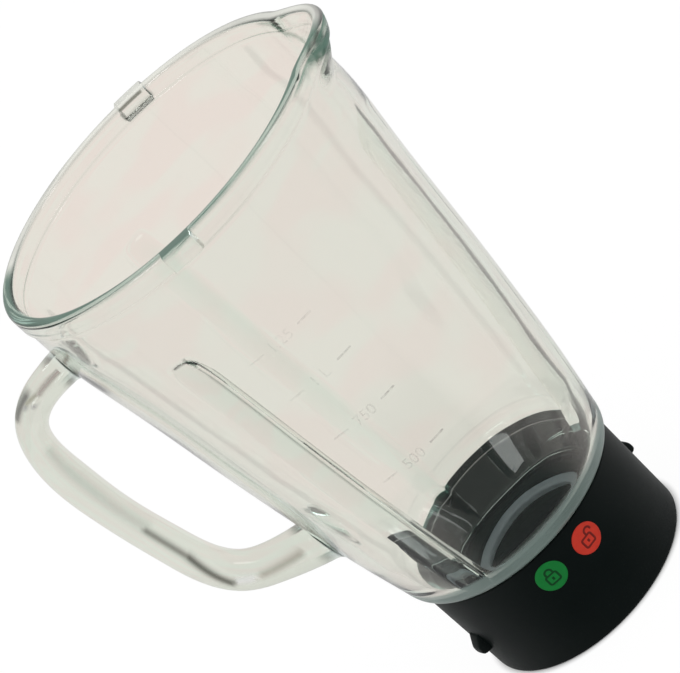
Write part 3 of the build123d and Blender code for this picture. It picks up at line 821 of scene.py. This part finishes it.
# %% Shades of the glass
in_rows, out_rows = slice(0, inside.shape[1]), slice(first_out, first_out + outside.shape[1])
lug_edge_rows = slice(inside.shape[1], inside.shape[1] + 2)
rim_out_rows = slice(first_out - rim_out.shape[1], first_out)
LUG_SHADE_LINE, LUG_LINE_SHARE, FAR_RIM_PAINTED_GREY = (0.12, 0.12, 0.08), 0.75, (0.30, 0.29, 0.28)
FAR_RIM_SHARES = np.array([0, 0.5, 0.6, 0.6, 0.6, 0.6])
wall_shade = np.zeros((rows, cols, 4))
wall_shade[:, in_rows] = inside_shade
wall_shade[:, out_rows] = outside_shade
# Painted shade: a dark line along the back lug's inner edge, and a grey line on the rim's far side.
wall_shade[:, lug_edge_rows, :3] = LUG_SHADE_LINE
wall_shade[:, lug_edge_rows, 3] = LUG_LINE_SHARE * ease(LUG_W / 2 - np.abs(angles - np.pi) * BEAD_R)[:, None]
wall_shade[:, rim_out_rows, :3] = FAR_RIM_PAINTED_GREY
wall_shade[:, rim_out_rows, 3] = ease(np.cos(angles - FAR_SIDE) * 4 + 0.2)[:, None] * FAR_RIM_SHARES
wall_soft = np.zeros((rows, cols))
wall_soft[:, in_rows] = inside_soft
wall_soft[:, out_rows] = outside_soft
wall_over = np.zeros((rows, cols), bool)
wall_over[:, in_rows] = rib_stroke
row_number = np.arange(len(handle_rows))
at_root = np.minimum(row_number - 1, len(handle_rows) - row_number - 2)
root_soft = ROOT_SOFT * ease(at_root / 2) * ease((len(top_rows) + 2 - at_root) / 4)
shades = np.concatenate([wall_shade.reshape(-1, 4), shade_rows.reshape(-1, 4)])[used]
softs = np.concatenate([wall_soft.ravel(), np.repeat(root_soft, ring_size)])[used]
over = np.concatenate([wall_over.ravel(), np.zeros(handle_ids.size, bool)])[used]
paint = shades[:, 3].copy()
OVER_STEEP, BESIDE_STEEP = 8, 4
over_soft = -(softs + (1 - softs) * np.minimum(paint * OVER_STEEP, 1) + paint)
beside_soft = paint - softs * (1 - np.minimum(paint * BESIDE_STEEP, 1))
shades[:, 3] = np.where(over, over_soft, beside_soft)
jug.data.attributes.new("flow_line", "FLOAT_COLOR", "POINT").data.foreach_set("color", shades.ravel())
print("shades for", len(shades), "of", len(jug.data.vertices), "points")

# %% [markdown]
# ## Black collar
# The collar is an injection moulding, so it is a turned profile with small rounded
# edges, and a fine spark-eroded grain on its skin. A grain that small is a bump and a
# change of gloss, not geometry.

# %% Collar material
plastic, start, out = material("black_moulding")
spot = place_on(start)
grain, cloud = noise(spot, 2600.0, 2.0), noise(spot, 60.0, 3.0)
pits = bump(grain, 0.25, 0.0002)
tone = cloud.mix((0.0020, 0.0044, 0.0040, 1), (0.0032, 0.0064, 0.0060, 1))
gloss = start.math("MULTIPLY_ADD", cloud, 0.12, 0.38)
moulded = start.node("ShaderNodeBsdfPrincipled", {}, {
    "Base Color": tone, "Roughness": gloss, "IOR": 1.5, "Specular IOR Level": 0.10, "Normal": pits})
dull_tone = cloud.mix((0.006, 0.011, 0.009, 1), (0.010, 0.017, 0.014, 1))
dull = start.node("ShaderNodeBsdfDiffuse", {}, {"Color": dull_tone, "Normal": pits})
inner = 1 - between(off_axis(spot), 0.0412, 0.0420)
finish_material(start, out, blend(inner * 0.8, moulded, dull))


# %% Turned profile with rounded corners
def rounded(points, radii, count=5):
    """Closed outline whose corners are cut back by a radius and joined by a curve."""
    points = np.array(points, float)
    before, after = np.roll(points, 1, 0) - points, np.roll(points, -1, 0) - points
    arcs = []
    for point, b, a, radius in zip(points, before, after, radii):
        reach = min(radius, 0.45 * np.hypot(*b), 0.45 * np.hypot(*a))
        arcs.append(bend(point + b / np.hypot(*b) * reach, point, point + a / np.hypot(*a) * reach, count))
    return np.concatenate(arcs)


def turned(name, outline, stuff, count=300, smooth_angle=35.0):
    """Closed outline of radius and height, carried once round the axis."""
    turn = np.arange(count) * 2 * np.pi / count
    A, R = np.meshgrid(turn, outline[:, 0], indexing="ij")
    points = on_ring(R, A, np.broadcast_to(outline[:, 1], R.shape))
    return make_piece(name, points, grid_faces(count, len(outline), True, True), stuff, smooth_angle)


SOCKET_R, SOCKET_H, SKIRT_IN_R, SPIGOT_FIT = 41.2, 12.0, 40.2, 0.25
WEB_LOW_Z, BOSS_IN_R, SEAT_Z, SEAT_LOW_Z, SEAT_IN_R = 24.5, 27.2, 25.6, 22.4, 21.6
SLEEVE_IN_R, SLEEVE_T, SLEEVE_LOW_Z = 30.0, 2.6, 13.0
collar_outline = [
    (SOCKET_R, 0), (COLLAR_R_LOW, 0), (COLLAR_R_TOP, COLLAR_TOP_Z), (SPIGOT_R + SPIGOT_FIT, COLLAR_TOP_Z),
    (SPIGOT_R + SPIGOT_FIT, NECK_Z), (BOSS_IN_R, NECK_Z), (BOSS_IN_R, SEAT_Z), (SEAT_IN_R, SEAT_Z),
    (SEAT_IN_R, SEAT_LOW_Z), (SLEEVE_IN_R, SEAT_LOW_Z), (SLEEVE_IN_R, SLEEVE_LOW_Z),
    (SLEEVE_IN_R + SLEEVE_T, SLEEVE_LOW_Z), (SLEEVE_IN_R + SLEEVE_T, WEB_LOW_Z), (SKIRT_IN_R, WEB_LOW_Z),
    (SKIRT_IN_R, SOCKET_H), (SOCKET_R, SOCKET_H)]
collar_rounds = [0.4, 1.6, 0.9, 0.5, 0.2, 0.4, 0.2, 0.4, 0.4, 0.6, 0.4, 0.4, 0.6, 0.6, 0.4, 0.3]
collar = turned("base_collar_form", rounded(collar_outline, collar_rounds), plastic, 320)
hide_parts("base_collar")


# %% Blocks on the collar
BLOCK_BEVEL = 0.35


def block(name, inner, outer, half_angle, low, high, at, count=9):
    """Ring block: a closed grid of four faces round its section, with both ends shut."""
    a = np.radians(at + np.linspace(-half_angle, half_angle, count))
    ring = np.array([(inner, low), (outer, low), (outer, high), (inner, high)])
    A, R = np.meshgrid(a, ring[:, 0], indexing="ij")
    points = on_ring(R, A, np.broadcast_to(ring[:, 1], R.shape))
    faces = grid_faces(count, 4, False, True).tolist() + end_caps(count, 4)
    made = make_piece(name, points, faces, plastic, 30.0)
    edge = made.modifiers.new("edges", "BEVEL")
    edge.width, edge.segments, edge.limit_method = BLOCK_BEVEL * MM, 2, "ANGLE"


SINK, STAY_HALF, STAY_LOW_Z, STAY_TOP_Z = 0.4, math.degrees(1.0 / 36.0), 15.0, WEB_LOW_Z + 0.3
RAMP_IN_R, RAMP_OUT_R, RAMP_HALF, RAMP_LOW_Z, RAMP_TOP_Z = 27.6, SLEEVE_IN_R + 0.5, 19.0, 14.0, 17.2
stay_in, stay_out = SLEEVE_IN_R + SLEEVE_T - SINK, SKIRT_IN_R + SINK
for which in range(6):
    at = 90 + 60 * (which + 0.5)
    block(f"sleeve_rib_{which}", stay_in, stay_out, STAY_HALF, STAY_LOW_Z, STAY_TOP_Z, at, 3)
for which in range(3):
    block(f"blade_ramp_{which}", RAMP_IN_R, RAMP_OUT_R, RAMP_HALF, RAMP_LOW_Z, RAMP_TOP_Z, 120 * which)

# %% [markdown]
# The two drive lugs on the collar are wedges: flat below and sloped in toward their
# tops. One is a grid over its front, where the height above the collar is the smaller
# of a flat, a slope and the rounded sides.

# %% Drive lugs
DRIVE_LUG_W, DRIVE_LUG_OUT, DRIVE_LUG_Z, DRIVE_LUG_H, DRIVE_LUG_FLAT_H = 6.4, 3.4, 15.0, 8.4, 3.2
LUG_TIP_OUT, LUG_SIDE_STEEP, LUG_FOOT_STEEP, LUG_SUNK, LUG_ON_WALL = 0.5, 9, 6, -0.9, 0.35
DRIVE_LUG_ANGLES = -64.4, 115.6


def drive_lug(which, at):
    """Wedge: proud height is the least of a flat, a top slope, a bottom edge and two side edges."""
    across = np.sort(np.concatenate([np.linspace(-0.5, 0.5, 15), [-0.497, -0.47, 0.47, 0.497]])) * DRIVE_LUG_W
    tall = np.sort(np.concatenate([np.linspace(0, 1, 25), [0.004, 0.02, 0.06]])) * DRIVE_LUG_H
    X, Z = np.meshgrid(across, tall, indexing="ij")
    slope = LUG_TIP_OUT + (DRIVE_LUG_OUT + 0.2) * (DRIVE_LUG_H - Z) / (DRIVE_LUG_H - DRIVE_LUG_FLAT_H)
    proud = soft_min(slope, DRIVE_LUG_OUT + 0.4, 0.6)
    proud = soft_min(proud, (DRIVE_LUG_W / 2 - np.abs(X)) * LUG_SIDE_STEEP, 1.6)
    proud = np.maximum(soft_min(proud, Z * LUG_FOOT_STEEP + 0.3, 1.4), 0.0)
    edge = (np.abs(X) > DRIVE_LUG_W / 2 - 1e-6) | (Z < 1e-6) | (Z > DRIVE_LUG_H - 1e-6)
    radius = COLLAR_R_LOW + LUG_ON_WALL + np.where(edge, LUG_SUNK, proud)
    points = on_ring(radius, math.radians(at) + X / COLLAR_R_LOW, DRIVE_LUG_Z + Z)
    front = grid_faces(*X.shape).tolist()
    n, m = X.shape
    loop = [i * m for i in range(n)] + [(n - 1) * m + j for j in range(1, m)]
    loop += [i * m + m - 1 for i in range(n - 2, -1, -1)] + [j for j in range(m - 2, 0, -1)]
    made = make_piece(f"drive_lug_{which}", points, front + [loop[::-1]], plastic, 50.0)


for which, at in enumerate(DRIVE_LUG_ANGLES):
    drive_lug(which, at)

# %% [markdown]
# ## Seal
# The grey-blue ring that the blade holder presses on is silicone rubber: soft gloss,
# no grain, and a little dust in its colour.

# %% Seal ring
rubber, start, out = material("grey_blue_silicone")
dust = noise(place_on(start), 240.0, 4.0)
pores = bump(dust, 0.15, 0.0002)
finish_material(start, out, start.node("ShaderNodeBsdfPrincipled", {}, {
    "Base Color": dust.mix((0.29, 0.34, 0.37, 1), (0.38, 0.43, 0.46, 1)),
    "Roughness": start.math("MULTIPLY_ADD", dust, 0.15, 0.42), "Normal": pores}))
SEAL_IN_R, SEAL_TOP_Z, SEAL_FIT = 22.0, 28.4, 0.15
seal_out, seal_low = BOSS_IN_R - SEAL_FIT, SEAT_Z + 0.02
seal_outline = [(SEAL_IN_R, seal_low), (seal_out, seal_low), (seal_out, SEAL_TOP_Z), (SEAL_IN_R, SEAL_TOP_Z)]
seal = turned("seal_ring_form", rounded(seal_outline, [0.3, 0.3, 1.0, 1.0], 7), rubber, 200)
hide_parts("seal_ring")

# %% [markdown]
# ## Measuring marks
# The marks are moulded into the glass and only just show. Each is a thin raised strip
# that follows the wall, with a weak grey-brown veil, so that the glass behind it stays
# visible. Numbers are set in the plain built-in typeface and bent round the wall.

# %% Marks material
veil, start, out = material("moulded_mark")
spot = place_on(start)
fade = noise(spot, 520.0, 1.0)
clear = start.node("ShaderNodeBsdfTransparent", {}, {"Color": WHITE})
grey_brown = fade.mix((0.30, 0.29, 0.26, 1), (0.40, 0.39, 0.36, 1))
frost = start.node("ShaderNodeBsdfPrincipled", {}, {"Base Color": grey_brown, "Roughness": 0.35})
where = start.node("ShaderNodeSeparateXYZ", {}, {0: spot})
right_side = between(where, 0.004, 0.009)
low_down = 1 - between(Sock(start.tree, where.out.node.outputs[2]), 0.11, 0.19)
amount = (0.045 + between(fade, 0.38, 0.66) * 0.08) * (0.7 + right_side * 1.1) * (0.6 + low_down * 0.9)
finish_material(start, out, blend(amount, clear, frost))

# %% Ticks and numbers
MARKS = ((112.2, "500"), (138.4, "750"), (161.2, "1 L"), (181.7, "1.25"))
TICK_AT, TICK_L, TICK_H, MARK_PROUD, NUMBER_H = 10.8, 6.4, 0.8, 0.14, 4.5
NUMBER_SQUEEZE, MARK_BACK = 0.92, 0.02


def wall_place(across, z, proud):
    """Points on the outer wall: a distance across, measured along the wall, a height and a proud height."""
    radius = wall_curve(z)
    return on_ring(radius + proud, across / radius, z)


def tick(name, mid, z):
    """Raised strip whose proud height falls to the wall at its edges."""
    U, V = np.meshgrid(np.linspace(-1, 1, 25), np.linspace(-1, 1, 9), indexing="ij")
    proud = MARK_PROUD * (1 - U ** 8) * (1 - V ** 4)
    front = wall_place(mid + U * TICK_L / 2, z + V * TICK_H / 2, proud + 0.03)
    back = wall_place(mid + U * TICK_L / 2, z + V * TICK_H / 2, np.full_like(U, MARK_BACK))
    sheet = grid_faces(*U.shape)
    faces = np.concatenate([sheet, sheet[:, ::-1] + U.size])
    made = make_piece(name, np.concatenate([front.reshape(-1, 3), back.reshape(-1, 3)]), faces, veil, 60.0)


def number(name, words, z):
    """Built-in letters as a thin slab, bent round the wall."""
    curve = bpy.data.curves.new(name, "FONT")
    curve.body, curve.size, curve.extrude, curve.resolution_u = words, 1.0, 0.05, 6
    curve.align_x = curve.align_y = "CENTER"
    maker = bpy.data.objects.new(name, curve)
    scene.collection.objects.link(maker)
    mesh = bpy.data.meshes.new_from_object(maker.evaluated_get(bpy.context.evaluated_depsgraph_get()))
    bpy.data.objects.remove(maker)
    flat = np.empty(len(mesh.vertices) * 3)
    mesh.vertices.foreach_get("co", flat)
    flat = flat.reshape(-1, 3)
    flat[:, :2] -= (flat[:, :2].min(0) + flat[:, :2].max(0)) / 2
    flat *= NUMBER_H / np.ptp(flat[:, 1])
    proud = np.where(flat[:, 2] > 0, MARK_PROUD, MARK_BACK)
    points = wall_place(flat[:, 0] * NUMBER_SQUEEZE, z + flat[:, 1], proud)
    made = make_piece(name, points, [list(p.vertices) for p in mesh.polygons], veil, 30.0)
    bpy.data.meshes.remove(mesh)


for step, (z, words) in enumerate(MARKS):
    tick(f"tick_left_{step}", -TICK_AT, z)
    tick(f"tick_right_{step}", TICK_AT, z)
    number(f"number_{step}", words, z)

# %% [markdown]
# ## Lock signs
# Two enamelled discs on the collar show the locked and the open place: a green one with
# a closed padlock and a red one with an open padlock. Disc and padlock are both low
# surfaces that follow the collar.

# %% Sign materials
def enamel(name, low, high):
    """Smooth enamel with a slight mottle and a worn gloss."""
    made, start, out = material(name)
    mottle = noise(place_on(start), 420.0, 3.0)
    orange_peel = bump(mottle, 0.1, 0.0002)
    finish_material(start, out, start.node("ShaderNodeBsdfPrincipled", {}, {
        "Base Color": mottle.mix(low, high), "Roughness": start.math("MULTIPLY_ADD", mottle, 0.2, 0.35),
        "Specular IOR Level": 0.15, "Normal": orange_peel}))
    return made


green = enamel("green_enamel", (0.004, 0.150, 0.026, 1), (0.006, 0.200, 0.036, 1))
red = enamel("red_enamel", (0.47, 0.030, 0.016, 1), (0.58, 0.040, 0.022, 1))
# Painted shade: the padlocks' raised lines are a darker enamel, standing in for their shadows.
green_shade_lines = enamel("green_painted_shade", (0.002, 0.044, 0.011, 1), (0.003, 0.062, 0.014, 1))
red_shade_lines = enamel("red_painted_shade", (0.13, 0.011, 0.008, 1), (0.18, 0.014, 0.010, 1))

# %% Discs and padlocks
SIGN_Z, SIGN_R, SIGN_PROUD, SIGN_SUNK = 34.1, 6.05, 0.35, -0.3
LINE_W, LINE_PROUD, KEYHOLE_W, OVAL_POINTS = 0.85, 0.12, 0.95, 8


def collar_place(at, across, up, proud):
    """Points on the collar round an angle: across and up from the sign's middle, and proud height."""
    z = SIGN_Z + up
    radius = COLLAR_R_LOW + (COLLAR_R_TOP - COLLAR_R_LOW) * z / COLLAR_TOP_Z
    return on_ring(radius + proud, math.radians(at) + across / radius, z)


def disc(name, at, stuff):
    """Low dome: proud height is level and falls off round the edge."""
    U, A = np.meshgrid(np.concatenate([np.linspace(0.02, 0.9, 12), [0.94, 0.97, 0.99, 1.0, 1.0]]),
                       np.arange(96) * 2 * np.pi / 96, indexing="ij")
    proud = SIGN_PROUD * np.sqrt(np.clip(1 - np.clip((U - 0.93) / 0.07, 0, 1) ** 2, 0, 1))
    proud[-1] = SIGN_SUNK
    points = collar_place(at, SIGN_R * U * np.cos(A), SIGN_R * U * np.sin(A), proud)
    n, m = U.shape
    faces = grid_faces(n, m, False, True).tolist() + end_caps(n, m)
    make_piece(name, points, faces, stuff, 50.0)


def stroke(name, at, path, width, closed, stuff):
    """Raised line: a low oval section carried along a flat path on the disc."""
    path = np.asarray(path, float)
    ahead = np.roll(path, -1, 0) - np.roll(path, 1, 0)
    if not closed:
        ahead[0], ahead[-1] = path[1] - path[0], path[-1] - path[-2]
    ahead /= np.hypot(*ahead.T)[:, None]
    turn = np.arange(OVAL_POINTS) * 2 * np.pi / OVAL_POINTS
    aside = np.stack([-ahead[:, 1], ahead[:, 0]], -1)
    P = path[:, None, :] + aside[:, None, :] * (np.cos(turn) * width / 2)[None, :, None]
    proud = np.broadcast_to(SIGN_PROUD + LINE_PROUD * np.sin(turn), P.shape[:2])
    points = collar_place(at, P[..., 0], P[..., 1], proud)
    n, m = P.shape[:2]
    faces = grid_faces(n, m, closed, True).tolist()
    if not closed:
        faces += end_caps(n, m)
    make_piece(name, points, faces, stuff, 60.0)


def padlock(name, at, swing, stuff):
    """Padlock in lines: a rounded body, a keyhole bar and a shackle that may be swung open."""
    body = rounded([(-2.3, -2.9), (2.3, -2.9), (2.3, 0.9), (-2.3, 0.9)], [0.8] * 4, 6)
    stroke(f"{name}_body", at, body, LINE_W, True, stuff)
    t = np.linspace(0, 1, 5)[:, None]
    stroke(f"{name}_keyhole", at, np.array([(0, -0.4)]) + t * np.array([(0, -1.2)]), KEYHOLE_W, False, stuff)
    bow = np.pi * np.linspace(1, 0, 17)
    arch = np.stack([1.4 * np.cos(bow), 2.0 + 1.3 * np.sin(bow)], -1)
    loop = np.concatenate([[(-1.4, 0.9), (-1.4, 1.5)], arch, [(1.4, 1.5)]])
    loop = np.concatenate([loop, [(1.4, 0.9)]]) if swing == 0 else loop + np.array([(swing, 0.0)])
    stroke(f"{name}_shackle", at, loop, LINE_W, False, stuff)


CLOSED_AT, OPEN_AT, SWING = 0.0, 23.4, 2.1
disc("closed_sign", CLOSED_AT, green)
padlock("closed_padlock", CLOSED_AT, 0.0, green_shade_lines)
disc("open_sign", OPEN_AT, red)
padlock("open_padlock", OPEN_AT, SWING, red_shade_lines)
